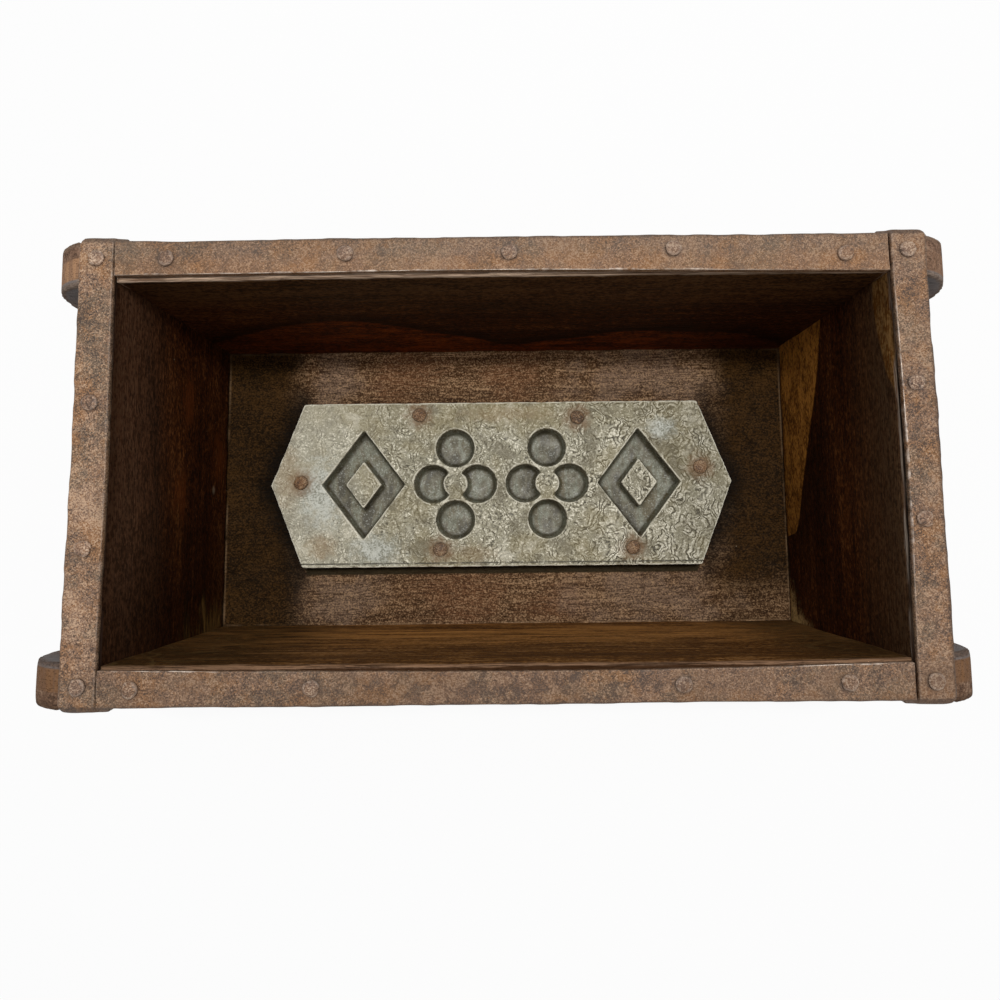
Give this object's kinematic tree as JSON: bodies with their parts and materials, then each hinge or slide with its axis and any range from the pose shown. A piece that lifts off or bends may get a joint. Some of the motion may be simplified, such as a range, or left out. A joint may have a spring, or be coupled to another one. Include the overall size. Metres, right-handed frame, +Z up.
{
  "type": "brick mould",
  "caption": "Open timber brick mould with iron-strapped rim, rounded ears to lift it by and a recessed cast frog plate nailed to its floor.",
  "frame": {"origin": "centre of the underside of the bottom board", "axes": "+X along the length to the right end, +Y to the rear, +Z up through the open top"},
  "size_m": [0.31, 0.154, 0.1001],
  "materials": {
    "floor_wood": "oiled by years of clay release, worn, grain along the length",
    "front_wood": "oiled dark inside, weathered outside, grain along the length",
    "rear_wood": "oiled dark inside, weathered outside, grain along the length",
    "left_end_wood": "oiled dark inside, weathered outside, grain along the length",
    "right_end_wood": "oiled dark inside with paler sapwood streaks, weathered outside, grain along the length",
    "strap_iron": "flat wrought iron with a brown, pitted, handled rust skin",
    "cast_plate": "rough sand casting, grey with olive and rust stains and rubbed edges",
    "strap_nails": "low hammered heads with the same rust skin as the straps",
    "rusty_nails": "low hammered heads with a red rust skin"
  },
  "bodies": {
    "root": {"bottom_board": "floor_wood", "front_board": "front_wood", "rear_board": "rear_wood", "left_end_board": "left_end_wood", "right_end_board": "right_end_wood", "front_strap": "strap_iron", "rear_strap": "strap_iron", "left_strap": "strap_iron", "right_strap": "strap_iron", "frog_plate": "cast_plate", "frog_plate_nails": "rusty_nails", "front_strap_nails": "strap_nails", "rear_strap_nails": "strap_nails", "left_strap_nails": "strap_nails", "right_strap_nails": "strap_nails", "left_leg_nails": "strap_nails", "right_leg_nails": "strap_nails", "left_joint_nails": "strap_nails", "right_joint_nails": "strap_nails", "bottom_nails": "strap_nails"}
  },
  "joints": []
}
